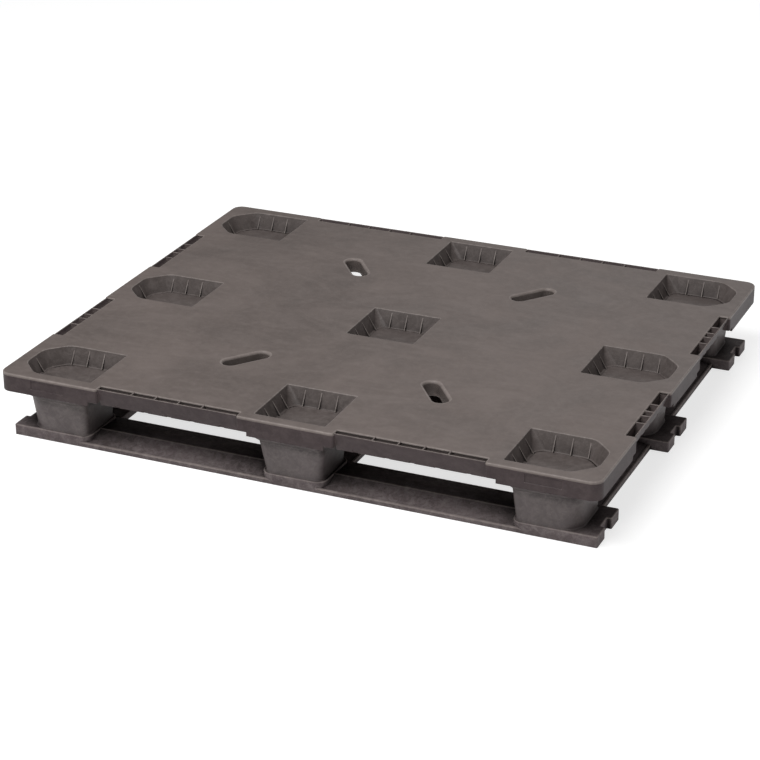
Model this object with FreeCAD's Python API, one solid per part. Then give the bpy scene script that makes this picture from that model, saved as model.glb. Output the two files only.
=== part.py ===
import FreeCAD, Part

import math
import os

from FreeCAD import Vector

# Four-way rackable plastic pallet, 48 x 40 in.
# Frame: origin at the bottom centre, +X along the long side, +Y to the back, +Z up. Millimetres.
# Columns run -1, 0, 1 from left to right, and rows -1, 0, 1 from front to back.

# Overall size
LENGTH = 1219.2
WIDTH = 1016.0
HEIGHT = 142.2
HALF_X = LENGTH / 2
HALF_Y = WIDTH / 2

# Deck
PLATE = 5.0
WALL = 5.0
DECK_CORNER = 22.0
SKIRT_DEPTH = 38.0
SKIRT_STEP = 8.0
STEP_LENGTH = 21.0
SKIRT_ROUND = 4.5
PLATE_LOW = HEIGHT - PLATE
SKIRT_LOW = HEIGHT - SKIRT_DEPTH

# Open channels along the edges, between the foot blocks
LONG_CHANNEL = (99.0, 394.0)
SHORT_CHANNEL = (97.0, 303.0)
LONG_PLATE_EDGE = 489.0
SHORT_PLATE_EDGE = 588.0
LONG_CELLS = (75.0, 49.5, 49.5, 49.5, 71.5)
SHORT_CELLS = (60.0, 32.0, 22.0, 32.0, 60.0)
CHANNEL_WALL = 4.0
CHANNEL_RIB = 3.0
CHANNEL_FLOOR = 4.0
CHANNEL_INSET = 3.0
CHANNEL_LEAN = 5.0
DRAIN_WIDTH = 10.0
DRAIN_HEIGHT = 6.0

# Foot positions and their pockets
FOOT_X = 502.75
FOOT_Y = 412.4
POCKET_MID = (72.6, 72.0)
POCKET_SIDE = (82.75, 71.0)
POCKET_CUT = 40.0
POCKET_CUT_ROUND = 30.0
POCKET_FLOOR_ROUND = 22.0
POCKET_DEPTH = 33.0
POCKET_INSET = 15.0
POCKET_WALL = 4.0
LEDGE = 6.0
LEDGE_DROP = 4.0
FIN_THICK = 2.2
FIN_FOOT = 4.5
FIN_PITCH = 34.0

# Legs, from the pocket floor down to the base
LEG_KNEE = HEIGHT - 54.0
LEG_ROUND = 14.0
LEG_OUTER_ROUND = 38.0
LEG_TAPER = 4.5
LEG_MID_TAPER = 9.0
LEG_FRONT_TAPER = 9.0
LEG_FLARE = 1.2
LEG_X_MID = (-58.0, 58.0)
LEG_X_SIDE = (440.0, 563.0)
LEG_Y_MID = (-56.0, 56.0)
LEG_Y_SIDE = (366.0, 478.0)
ROOF = 5.0
ROOF_ROUND = 6.0

# Base
BASE_HEIGHT = 22.0
SKID_HALF = 61.0
SKID_Y = 420.0
SKID_END = 599.0
PAD_MID = 66.0
PAD_SIDE = 434.0
PAD_ROUND = 22.0
PAD_END_ROUND = 3.0
NOTCH_WIDTH = 36.0
NOTCH_DEPTH = 9.0
BEAD_HEIGHT = 9.0
BEAD_WIDTH = 5.0
RIDGE_IN = 40.0
RIDGE_STEP = 5.0
RIDGE_WIDTH = 4.0
INNER_EDGE = 14.0
SKIN = 5.0
SIDE_RUNNER = (429.0, 563.0)
MID_RUNNER = 68.0

# Lap joints between the cross runners and the skids
LAP = 22.0
TONGUE_HALF = 50.0
TONGUE_THICK = 6.0

# Screws that hold the skids to the legs
SCREW_SHANK = 6.0
SCREW_HEAD = 13.0
SCREW_CAP = 3.5
SCREW_LENGTH = 40.0
SEAT = 7.0
BOSS = 15.0
BOSS_X = 30.0
BOSS_Y = 30.0

# Screws that hold the cross runners to the skids
LAP_SHANK = 4.0
LAP_HEAD = 9.0
LAP_CAP = 2.5
LAP_LENGTH = 11.0
LAP_SCREW_X = 32.0
LAP_RECESS = 1.5

# Slots through the deck
SLOT_X = 200.0
SLOT_Y = 263.0
SLOT_LENGTH = 98.0
SLOT_WIDTH = 32.0
COLLAR = 4.0
COLLAR_DEPTH = 26.0

# Stiffening ribs under the deck
RIB = 4.0
RIB_LOW = HEIGHT - 30.0
LONG_RIB_Y = (-330.0, -220.0, -110.0, 0.0, 110.0, 220.0, 330.0)
CROSS_RIB_X = (-375.0, -285.0, -140.0, 140.0, 285.0, 375.0)
SHORTEST_RIB = 15.0

ARC_STEPS = 4
COLUMN_NAMES = {-1: "left", 0: "middle", 1: "right"}
ROW_NAMES = {-1: "front", 0: "middle", 1: "back"}
FEET = [(column, row) for row in (-1, 0, 1) for column in (-1, 0, 1)]
SLOTS = [(column, row) for column in (-1, 1) for row in (-1, 1)]


# ---------------------------------------------------------------- plain shapes

def box(x0, x1, y0, y1, z0, z1):
    low = Vector(min(x0, x1), min(y0, y1), min(z0, z1))
    return Part.makeBox(abs(x1 - x0), abs(y1 - y0), abs(z1 - z0), low)


def cylinder(x, y, z0, z1, diameter):
    return Part.makeCylinder(diameter / 2, z1 - z0, Vector(x, y, z0))


def rectangle(x0, x1, y0, y1, radius):
    return [(x0, y0, radius), (x1, y0, radius), (x1, y1, radius), (x0, y1, radius)]


def ring(outline, z):
    """Points at height z round an outline of (x, y, radius) corners, with ARC_STEPS chords to each round."""
    places = []
    count = len(outline)
    for i, (x, y, radius) in enumerate(outline):
        corner = Vector(x, y, z)
        before = Vector(outline[i - 1][0], outline[i - 1][1], z) - corner
        after = Vector(outline[(i + 1) % count][0], outline[(i + 1) % count][1], z) - corner
        before.normalize()
        after.normalize()
        half_angle = before.getAngle(after) / 2
        inward = (before + after).normalize()
        centre = corner + inward * (radius / math.sin(half_angle))
        spoke = corner + before * (radius / math.tan(half_angle)) - centre
        turn = math.pi - 2 * half_angle
        if before.cross(after).z > 0:
            turn = -turn
        for step in range(ARC_STEPS + 1):
            sine, cosine = math.sin(turn * step / ARC_STEPS), math.cos(turn * step / ARC_STEPS)
            places.append(centre + Vector(spoke.x * cosine - spoke.y * sine,
                                          spoke.x * sine + spoke.y * cosine, 0))
    return places


def flat_face(points):
    """Flat face round the points, leaving out any point that repeats the one before it."""
    kept = [p for i, p in enumerate(points) if p.distanceToPoint(points[i - 1]) > 1e-5]
    return Part.Face(Part.makePolygon(kept + kept[:1])) if len(kept) > 2 else None


def loft(low, high):
    """Solid with flat facets between two rings that have the same corners."""
    count = len(low)
    faces = [flat_face(low), flat_face(high)]
    for i in range(count):
        j = (i + 1) % count
        faces.append(flat_face([low[i], low[j], high[j], high[i]]))
    solid = Part.Solid(Part.Shell([face for face in faces if face]))
    if solid.Volume < 0:
        solid.reverse()
    return solid


def prism(outline, z0, z1):
    return loft(ring(outline, z0), ring(outline, z1))


def along_x(section, x0, x1):
    """Solid from a section of (y, z) points, between x0 and x1."""
    return flat_face([Vector(x0, y, z) for y, z in section]).extrude(Vector(x1 - x0, 0, 0))


def mirrored(shape, flip_x, flip_y):
    if flip_x:
        shape = shape.mirror(Vector(0, 0, 0), Vector(1, 0, 0))
    if flip_y:
        shape = shape.mirror(Vector(0, 0, 0), Vector(0, 1, 0))
    return shape


def front_to_right(shape):
    """The shape turned so that what faced the front faces the right."""
    turned = shape.copy()
    turned.rotate(Vector(0, 0, 0), Vector(0, 0, 1), 90)
    return turned


def moved(shape, x, y):
    shape.translate(Vector(x, y, 0))
    return shape


def clean(shape):
    shape = shape.removeSplitter()
    return shape.Solids[0] if len(shape.Solids) == 1 else Part.makeCompound(shape.Solids)


# ---------------------------------------------------------------- feet: pockets and legs

def pocket_outline(side, inset, inner_round):
    """Outline of a pocket centred on its foot: square in the middle column, with two cut corners at the sides."""
    half_x, half_y = POCKET_SIDE if side else POCKET_MID
    x, y = half_x - inset, half_y - inset
    if not side:
        return rectangle(-x, x, -y, y, inner_round)
    cut = POCKET_CUT - inset * (2 - math.sqrt(2))
    return [
        (-x, -y, inner_round), (x - cut, -y, POCKET_CUT_ROUND), (x, -y + cut, POCKET_CUT_ROUND),
        (x, y - cut, POCKET_CUT_ROUND), (x - cut, y, POCKET_CUT_ROUND), (-x, y, inner_round),
    ]


def pocket_space(side, wall=0.0):
    """The sloping space of a pocket down to its ledge, grown by the wall."""
    slope = POCKET_INSET / POCKET_DEPTH
    top = ring(pocket_outline(side, -slope - wall, 0.0), HEIGHT + 1.0)
    ledge = ring(pocket_outline(side, POCKET_INSET - wall, POCKET_FLOOR_ROUND), HEIGHT - POCKET_DEPTH)
    return loft(top, ledge)


def pocket_fins(side):
    """Thin upright gussets on the four sloping walls of a pocket."""
    half_x, half_y = POCKET_SIDE if side else POCKET_MID
    ledge = HEIGHT - POCKET_DEPTH
    fins = []
    for turn, half in ((0, half_y), (90, half_x), (180, half_y), (270, half_x)):
        cut_wall = side and turn == 270
        for step in (0,) if cut_wall else (-1, 0, 1):
            section = [(half + 1, PLATE_LOW), (half - POCKET_INSET * PLATE / POCKET_DEPTH, PLATE_LOW),
                       (half - POCKET_INSET - FIN_FOOT, ledge), (half + 1, ledge)]
            middle = step * FIN_PITCH
            fin = along_x(section, middle - FIN_THICK / 2, middle + FIN_THICK / 2)
            fin.rotate(Vector(0, 0, 0), Vector(0, 0, 1), turn)
            fins.append(fin)
    return fins


def leg_sides(side, end, share, front_taper):
    """(x0, x1, y0, y1) of a leg in the quarter with column and row not negative, at a share of its taper."""
    x0, x1 = LEG_X_SIDE if side else LEG_X_MID
    y0, y1 = LEG_Y_SIDE if end else LEG_Y_MID
    grow_x = share * (LEG_TAPER if side else LEG_MID_TAPER)
    grow_y = share * LEG_TAPER
    return x0 - grow_x, x1 + grow_x, y0 - grow_y, y1 + (front_taper if end else grow_y)


def leg_level(side, end, z, share, front_taper, inset):
    """Ring round a leg at height z, shrunk by inset."""
    x0, x1, y0, y1 = leg_sides(side, end, share, front_taper)
    x0, x1, y0, y1 = x0 + inset, x1 - inset, y0 + inset, y1 - inset
    small, large = LEG_ROUND - inset, LEG_OUTER_ROUND - inset
    outer_back = large if side else small
    outer_front = large if side and not end else small
    return ring([(x0, y0, small), (x1, y0, outer_front), (x1, y1, outer_back), (x0, y1, small)], z)


def leg_body(side, end, inset):
    """Tapered leg from the base up to the roof, shrunk by inset for its hollow."""
    shoulder = HALF_Y - LEG_Y_SIDE[1] - inset
    low = leg_level(side, end, BASE_HEIGHT, 0, 0, inset)
    middle = leg_level(side, end, LEG_KNEE, 1, LEG_FRONT_TAPER, inset)
    top = leg_level(side, end, SKIRT_LOW, LEG_FLARE, shoulder, inset)
    return loft(low, middle).fuse(loft(middle, top))


def leg_centre(side, end):
    return (sum(LEG_X_SIDE) / 2 if side else 0.0), (sum(LEG_Y_SIDE) / 2 if end else 0.0)


def screw_places(column, row):
    x, y = leg_centre(column, row)
    return [(column * x + i * BOSS_X, row * y + j * BOSS_Y) for i in (-1, 1) for j in (-1, 1)]


def leg(side, end):
    """One foot, in the quarter with column and row not negative: its pocket, roof, hollow leg and screw bosses."""
    foot_x, foot_y = side * FOOT_X, end * FOOT_Y
    roof_sides = leg_sides(side, end, LEG_FLARE, HALF_Y - WALL - LEG_Y_SIDE[1])
    roof = prism(rectangle(*roof_sides, ROOF_ROUND), SKIRT_LOW, SKIRT_LOW + ROOF)
    below_plate = box(-HALF_X, HALF_X, -HALF_Y, HALF_Y, SKIRT_LOW, PLATE_LOW)
    cup = moved(pocket_space(side, POCKET_WALL), foot_x, foot_y).common(below_plate)
    recess = pocket_outline(side, POCKET_INSET + LEDGE, POCKET_FLOOR_ROUND - LEDGE)
    under = pocket_outline(side, POCKET_INSET + LEDGE - POCKET_WALL, POCKET_FLOOR_ROUND - LEDGE + POCKET_WALL)
    floor_high = SKIRT_LOW + ROOF - LEDGE_DROP
    slab = moved(prism(under, floor_high - POCKET_WALL, SKIRT_LOW + 1), foot_x, foot_y)
    bosses = [cylinder(x, y, BASE_HEIGHT, floor_high - 1, BOSS) for x, y in screw_places(side, end)]
    shell = leg_body(side, end, 0.0).cut(leg_body(side, end, WALL)).fuse([roof, cup, slab] + bosses)
    pilots = [cylinder(x, y, BASE_HEIGHT - 1, BASE_HEIGHT - SEAT + SCREW_LENGTH, SCREW_SHANK)
              for x, y in screw_places(side, end)]
    space = moved(pocket_space(side), foot_x, foot_y)
    recess_space = moved(prism(recess, floor_high, HEIGHT - POCKET_DEPTH + 1), foot_x, foot_y)
    shell = shell.cut([space, recess_space] + pilots)
    fins = [moved(fin, foot_x, foot_y).common(space) for fin in pocket_fins(side)]
    return clean(shell.fuse(fins))


# ---------------------------------------------------------------- deck plate, slot collars and ribs

def slot(column, row, z0, z1, grow):
    half, radius = SLOT_LENGTH / 2 + grow, SLOT_WIDTH / 2 + grow
    length = 2 * (half - radius)
    shape = box(-length / 2, length / 2, -radius, radius, z0, z1)
    shape = shape.fuse([cylinder(end * length / 2, 0, z0, z1, 2 * radius) for end in (-1, 1)])
    shape = shape.removeSplitter()
    shape.rotate(Vector(0, 0, 0), Vector(0, 0, 1), math.degrees(math.atan2(row * SLOT_Y, column * SLOT_X)))
    return moved(shape, column * SLOT_X, row * SLOT_Y)


def placed_pocket(column, row, wall=0.0):
    return moved(mirrored(pocket_space(abs(column), wall), column < 0, False), column * FOOT_X, row * FOOT_Y)


def deck_outline_solid(inset, z0, z1):
    """The deck's outline with round corners, shrunk by inset."""
    radius = DECK_CORNER - inset
    x, y = HALF_X - inset, HALF_Y - inset
    block = box(-x, x, -y, y, z0, z1)
    uprights = [edge for edge in block.Edges if abs(edge.Vertexes[0].Z - edge.Vertexes[-1].Z) > 1]
    return block.makeFillet(radius, uprights)


def deck_plate():
    plate = deck_outline_solid(0.0, PLATE_LOW, HEIGHT)
    cuts = [slot(column, row, PLATE_LOW - 1, HEIGHT + 1, 0) for column, row in SLOTS]
    cuts += [placed_pocket(column, row) for column, row in FEET]
    for column, row in SLOTS:
        low, high = (column * value for value in LONG_CHANNEL)
        cuts.append(box(low, high, row * LONG_PLATE_EDGE, row * (HALF_Y + 1), 0, HEIGHT + 1))
        low, high = (row * value for value in SHORT_CHANNEL)
        cuts.append(box(column * SHORT_PLATE_EDGE, column * (HALF_X + 1), low, high, 0, HEIGHT + 1))
    return clean(plate.cut(cuts))


def slot_collars():
    low = PLATE_LOW - COLLAR_DEPTH
    rings = [slot(column, row, low, PLATE_LOW, COLLAR).cut(slot(column, row, low - 1, PLATE_LOW + 1, 0))
             for column, row in SLOTS]
    return Part.makeCompound([clean(each) for each in rings])


def channel_envelopes():
    """The room that the edge channels take up, which the ribs stop against."""
    rooms = []
    for span, plate_edge, edge, turned in ((LONG_CHANNEL, LONG_PLATE_EDGE, HALF_Y, False),
                                           (SHORT_CHANNEL, SHORT_PLATE_EDGE, HALF_X, True)):
        inner = plate_edge - CHANNEL_WALL
        section = [(-edge, SKIRT_LOW), (-inner + CHANNEL_LEAN, SKIRT_LOW), (-inner, PLATE_LOW),
                   (-edge, PLATE_LOW)]
        room = along_x(section, span[0] - WALL, span[1] + WALL)
        room = front_to_right(room) if turned else room
        rooms += [mirrored(room, flip_x, flip_y) for flip_x in (False, True) for flip_y in (False, True)]
    return rooms


def trimmed(ribs, blocks):
    """The pieces of the ribs that lie clear of the blocks."""
    pieces = []
    for rib in ribs:
        near = [block for block in blocks if block.BoundBox.intersect(rib.BoundBox)]
        for solid in (rib.cut(near).Solids if near else [rib]):
            bounds = solid.BoundBox
            if max(bounds.XLength, bounds.YLength) > SHORTEST_RIB:
                pieces.append(solid)
    return Part.makeCompound(pieces)


def deck_ribs():
    blocks = [placed_pocket(column, row, POCKET_WALL) for column, row in FEET] + channel_envelopes()
    blocks += [slot(column, row, 0, PLATE_LOW, COLLAR) for column, row in SLOTS]
    end_x, end_y = HALF_X - WALL, HALF_Y - WALL
    long_ribs = [box(-end_x, end_x, y - RIB / 2, y + RIB / 2, RIB_LOW, PLATE_LOW) for y in LONG_RIB_Y]
    cross_ribs = []
    stops = (-end_y - RIB / 2,) + LONG_RIB_Y + (end_y + RIB / 2,)
    for x in CROSS_RIB_X:
        for low, high in zip(stops, stops[1:]):
            cross_ribs.append(box(x - RIB / 2, x + RIB / 2, low + RIB / 2, high - RIB / 2, RIB_LOW, PLATE_LOW))
    return trimmed(long_ribs, blocks), trimmed(cross_ribs, blocks)


# ---------------------------------------------------------------- deck edges

def channel(span, cells, plate_edge, edge):
    """Open trough along the front edge: leaning outer wall, floor, inner wall, ribs and drain notches."""
    outer_top = edge - CHANNEL_INSET
    outer_low = plate_edge + CHANNEL_WALL
    inner_low = plate_edge - CHANNEL_LEAN
    floor = SKIRT_LOW + CHANNEL_FLOOR
    section = [
        (-outer_top, HEIGHT), (-outer_low, SKIRT_LOW), (-inner_low + CHANNEL_WALL, SKIRT_LOW),
        (-plate_edge + CHANNEL_WALL, PLATE_LOW), (-plate_edge, PLATE_LOW), (-inner_low, floor),
        (-outer_low + CHANNEL_WALL, floor), (-outer_top + CHANNEL_WALL, HEIGHT),
    ]
    rib_section = [(-outer_top + 1, HEIGHT), (-outer_low + 1, SKIRT_LOW + 1), (-inner_low + 1, SKIRT_LOW + 1),
                   (-plate_edge, PLATE_LOW), (-plate_edge, HEIGHT)]
    ribs, drains = [], []
    start = span[0]
    for cell in cells:
        middle = start + cell / 2
        drains.append(box(middle - DRAIN_WIDTH / 2, middle + DRAIN_WIDTH / 2, -edge,
                          -outer_low + CHANNEL_WALL + 1, SKIRT_LOW - 1, SKIRT_LOW + DRAIN_HEIGHT))
        start += cell
        ribs.append(along_x(rib_section, start - CHANNEL_RIB / 2, start + CHANNEL_RIB / 2))
    return clean(along_x(section, *span).fuse(ribs[:-1]).cut(drains))


def end_return(x, direction, edge, plate_edge):
    """Wall that closes the end of a channel, from the block's face inwards."""
    return box(x, x + direction * WALL, -edge, -plate_edge + CHANNEL_WALL + CHANNEL_LEAN,
               SKIRT_LOW + SKIRT_STEP, PLATE_LOW)


def block_skirt(half, edge, plate_edge):
    """Skirt of a mid-side foot block on the front edge, with its lower edge stepped up at both ends."""
    face = box(-half, half, -edge, -edge + WALL, SKIRT_LOW, PLATE_LOW)
    steps = [box(side * half, side * (half - STEP_LENGTH), -edge - 1, -edge + WALL + 1,
                 SKIRT_LOW - 1, SKIRT_LOW + SKIRT_STEP) for side in (-1, 1)]
    wall = face.cut(steps).fuse([end_return(side * half, -side, edge, plate_edge) for side in (-1, 1)])
    wall = wall.removeSplitter()
    corners = [line for line in wall.Edges
               if abs(abs(line.CenterOfMass.x) - half) < 0.01 and abs(line.CenterOfMass.y + edge) < 0.01]
    return clean(wall.makeFillet(SKIRT_ROUND, corners))


def corner_skirt():
    """Skirt round the front right corner, with its lower edge stepped up at both ends."""
    band = deck_outline_solid(0.0, SKIRT_LOW, PLATE_LOW).cut(deck_outline_solid(WALL, SKIRT_LOW - 1, HEIGHT))
    x0, y0 = LONG_CHANNEL[1], SHORT_CHANNEL[1]
    wall = band.common(box(x0, HALF_X, -HALF_Y, -y0, 0, HEIGHT))
    low, high = SKIRT_LOW - 1, SKIRT_LOW + SKIRT_STEP
    wall = wall.cut([box(x0 - 1, x0 + STEP_LENGTH, -HALF_Y - 1, -HALF_Y + WALL + 1, low, high),
                     box(HALF_X - WALL - 1, HALF_X + 1, -y0 + 1, -y0 - STEP_LENGTH, low, high)])
    side_return = front_to_right(end_return(-y0, -1, HALF_X, SHORT_PLATE_EDGE))
    return clean(wall.fuse([end_return(x0, 1, HALF_Y, LONG_PLATE_EDGE), side_return]))


def deck_edges():
    parts = {}
    long_channel = channel(LONG_CHANNEL, LONG_CELLS, LONG_PLATE_EDGE, HALF_Y)
    short_channel = front_to_right(channel(SHORT_CHANNEL, SHORT_CELLS, SHORT_PLATE_EDGE, HALF_X))
    long_block = block_skirt(LONG_CHANNEL[0], HALF_Y, LONG_PLATE_EDGE)
    short_block = front_to_right(block_skirt(SHORT_CHANNEL[0], HALF_X, SHORT_PLATE_EDGE))
    corner = corner_skirt()
    for row in (-1, 1):
        front = ROW_NAMES[row]
        parts[f"{front}_block_skirt"] = mirrored(long_block, False, row > 0)
        for column in (-1, 1):
            side = COLUMN_NAMES[column]
            parts[f"{front}_{side}_corner_skirt"] = mirrored(corner, column < 0, row > 0)
            parts[f"{front}_channel_{side}"] = mirrored(long_channel, column < 0, row > 0)
            parts[f"{side}_channel_{front}"] = mirrored(short_channel, column < 0, row < 0)
    for column in (-1, 1):
        parts[f"{COLUMN_NAMES[column]}_block_skirt"] = mirrored(short_block, column < 0, False)
    return parts


# ---------------------------------------------------------------- base

def rail_section(half, both_sides):
    """Section across a rail: a bead, slope and ridge on the outer side, falling to the inner edge."""
    outer = [(-half, 0.0), (-half, BEAD_HEIGHT - 1.5), (-half + 1.5, BEAD_HEIGHT),
             (-half + BEAD_WIDTH, BEAD_HEIGHT), (-half + BEAD_WIDTH + 14, BEAD_HEIGHT + 2.5),
             (-half + RIDGE_IN - 2, BASE_HEIGHT - RIDGE_STEP), (-half + RIDGE_IN, BASE_HEIGHT)]
    if both_sides:
        return outer + [(-y, z) for y, z in reversed(outer)]
    return outer + [(-half + RIDGE_IN + RIDGE_WIDTH, BASE_HEIGHT), (half, INNER_EDGE), (half, 0.0)]


def rail_hollow(half, both_sides):
    """Section of the space under a rail's skin, open to the floor."""
    outer = [(-half + SKIN, -1.0), (-half + SKIN, BEAD_HEIGHT - SKIN),
             (-half + BEAD_WIDTH + 15, BEAD_HEIGHT + 2 - SKIN),
             (-half + RIDGE_IN, BASE_HEIGHT - RIDGE_STEP - SKIN)]
    if both_sides:
        return outer + [(-y, z) for y, z in reversed(outer)]
    return outer + [(half - SKIN, INNER_EDGE - SKIN), (half - SKIN, -1.0)]


def bays(section, start, stop, count):
    """The hollows under a rail, with a cross wall between each bay and the next."""
    step = (stop - start) / count
    return [along_x(section, start + step * i + SKIN / 2, start + step * (i + 1) - SKIN / 2)
            for i in range(count)]


def pad_hollows(x0, x1, both_sides):
    """The hollows under a pad, in four parts, clear of its lap joints."""
    high = BASE_HEIGHT - SKIN
    y_low = -SKID_HALF + SKIN + (LAP if both_sides else 0)
    y_high = SKID_HALF - SKIN - LAP
    middle = (x0 + x1) / 2
    hollow = box(x0 + SKIN, x1 - SKIN, y_low, y_high, -1, high)
    return hollow.cut([box(middle - SKIN / 2, middle + SKIN / 2, y_low, y_high, -1, high),
                       box(x0, x1, -SKIN / 2, SKIN / 2, -1, high)])


def end_notch(side):
    """The notch in the end of a skid, and the wall round it inside the hollow pad."""
    end, deep = side * SKID_END, side * (SKID_END - NOTCH_DEPTH)
    half = NOTCH_WIDTH / 2
    space = box(end + side, deep, -half, half, -1, BASE_HEIGHT + 1)
    wall = box(end, deep - side * SKIN, -half - SKIN, half + SKIN, 0, BASE_HEIGHT - SKIN)
    return wall, space


def laps_of(row):
    """Where cross runners meet a skid: (column, y of the joint, direction into the skid)."""
    if row:
        return [(column, row * (SKID_Y - SKID_HALF), row) for column in (-1, 0, 1)]
    return [(column, side * SKID_HALF, -side) for column in (-1, 0, 1) for side in (-1, 1)]


def runner_centre(column):
    return column * sum(SIDE_RUNNER) / 2


def tongue(column, y, direction):
    x = runner_centre(column)
    return box(x - TONGUE_HALF, x + TONGUE_HALF, y, y + direction * LAP, 0, TONGUE_THICK)


def lap_screw_places(column, y, direction):
    return [(runner_centre(column) + i * LAP_SCREW_X, y + direction * LAP / 2) for i in (-1, 1)]


def skid(row):
    """Skid along X under a row of feet, with three raised pads and notched ends (row 0 or 1)."""
    both = row == 0
    pads = [(-SKID_END, -PAD_SIDE, PAD_END_ROUND, PAD_ROUND), (-PAD_MID, PAD_MID, PAD_ROUND, PAD_ROUND),
            (PAD_SIDE, SKID_END, PAD_ROUND, PAD_END_ROUND)]
    beam = along_x(rail_section(SKID_HALF, both), -SKID_END + PAD_ROUND, SKID_END - PAD_ROUND)
    beam = beam.fuse([prism([(x0, -SKID_HALF, r0), (x1, -SKID_HALF, r1), (x1, SKID_HALF, r1),
                             (x0, SKID_HALF, r0)], 0, BASE_HEIGHT) for x0, x1, r0, r1 in pads])
    hollows = [pad_hollows(x0, x1, both) for x0, x1, _, _ in pads]
    for start, stop in ((-PAD_SIDE, -PAD_MID), (PAD_MID, PAD_SIDE)):
        hollows += bays(rail_hollow(SKID_HALF, both), start, stop, 3)
    notches = [end_notch(side) for side in (-1, 1)]
    beam = beam.cut(hollows).fuse([wall for wall, _ in notches]).cut([space for _, space in notches])
    if not both:
        beam = moved(beam.mirror(Vector(0, 0, 0), Vector(0, 1, 0)), 0, SKID_Y)
    seats, holes = [], []
    for column in (-1, 0, 1):
        for x, y in screw_places(column, row):
            seats.append(cylinder(x, y, BASE_HEIGHT - SEAT - SCREW_CAP, BASE_HEIGHT - 1, BOSS + 4))
            holes.append(cylinder(x, y, -1, BASE_HEIGHT + 1, SCREW_SHANK))
            holes.append(cylinder(x, y, -1, BASE_HEIGHT - SEAT, SCREW_HEAD + 1))
    for lap in laps_of(row):
        holes.append(tongue(*lap))
        holes += [cylinder(x, y, 0, LAP_RECESS + LAP_CAP + LAP_LENGTH, LAP_SHANK)
                  for x, y in lap_screw_places(*lap)]
    return clean(beam.fuse(seats).cut(holes))


def cross_runner(side):
    """Back runner along Y from the middle skid to the back skid, with a tongue at each end (column 0 or 1)."""
    middle_column = side == 0
    half = MID_RUNNER if middle_column else (SIDE_RUNNER[1] - SIDE_RUNNER[0]) / 2
    start, stop = SKID_HALF, SKID_Y - SKID_HALF
    bar = along_x(rail_section(half, middle_column), start, stop)
    bar = bar.cut(bays(rail_hollow(half, middle_column), start, stop, 3))
    bar = moved(front_to_right(bar), runner_centre(side), 0)
    laps = [(side, start, -1), (side, stop, 1)]
    bar = bar.fuse([tongue(*lap) for lap in laps])
    holes = []
    for lap in laps:
        for x, y in lap_screw_places(*lap):
            holes.append(cylinder(x, y, -1, TONGUE_THICK + 1, LAP_SHANK))
            holes.append(cylinder(x, y, -1, LAP_RECESS + LAP_CAP, LAP_HEAD))
    return clean(bar.cut(holes))


# ---------------------------------------------------------------- screws

def screw(x, y, seat, shank, head, cap, length):
    """Self-tapping screw driven up from below, its head's bearing face at height seat."""
    across = head * 0.32
    corners = [Vector(x + across * math.cos(math.radians(60 * i)), y + across * math.sin(math.radians(60 * i)),
                      seat - cap) for i in range(6)]
    socket = flat_face(corners).extrude(Vector(0, 0, cap * 0.6))
    body = cylinder(x, y, seat - cap, seat, head).cut(socket)
    return clean(body.fuse(cylinder(x, y, seat, seat + length, shank)))


def leg_screws():
    places = [place for foot in FEET for place in screw_places(*foot)]
    return Part.makeCompound([screw(x, y, BASE_HEIGHT - SEAT, SCREW_SHANK, SCREW_HEAD, SCREW_CAP, SCREW_LENGTH)
                              for x, y in places])


def lap_screws():
    places = [place for row in (-1, 0, 1) for lap in laps_of(row) for place in lap_screw_places(*lap)]
    return Part.makeCompound([screw(x, y, LAP_RECESS + LAP_CAP, LAP_SHANK, LAP_HEAD, LAP_CAP, LAP_LENGTH)
                              for x, y in places])


# ---------------------------------------------------------------- the whole pallet

def build():
    parts = {"deck_plate": deck_plate(), "slot_collars": slot_collars()}
    parts["long_ribs"], parts["cross_ribs"] = deck_ribs()
    quarter_legs = {(side, end): leg(side, end) for side in (0, 1) for end in (0, 1)}
    for column, row in FEET:
        shape = mirrored(quarter_legs[abs(column), abs(row)], column < 0, row < 0)
        parts[f"leg_{ROW_NAMES[row]}_{COLUMN_NAMES[column]}"] = shape
    parts.update(deck_edges())
    outer_skid, side_runner, middle_runner = skid(1), cross_runner(1), cross_runner(0)
    parts["middle_skid"] = skid(0)
    for row in (-1, 1):
        parts[f"{ROW_NAMES[row]}_skid"] = mirrored(outer_skid, False, row < 0)
        parts[f"middle_runner_{ROW_NAMES[row]}"] = mirrored(middle_runner, False, row < 0)
        for column in (-1, 1):
            name = f"{COLUMN_NAMES[column]}_runner_{ROW_NAMES[row]}"
            parts[name] = mirrored(side_runner, column < 0, row < 0)
    parts["leg_screws"] = leg_screws()
    parts["lap_screws"] = lap_screws()
    return parts


def main():
    os.makedirs("parts", exist_ok=True)
    for name, shape in build().items():
        if not shape.isValid():
            print("not valid:", name)
        shape.exportStep(f"parts/{name}.step")


main()
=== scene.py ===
import math

import bmesh
import bpy
from mathutils import Euler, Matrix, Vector, geometry


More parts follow.
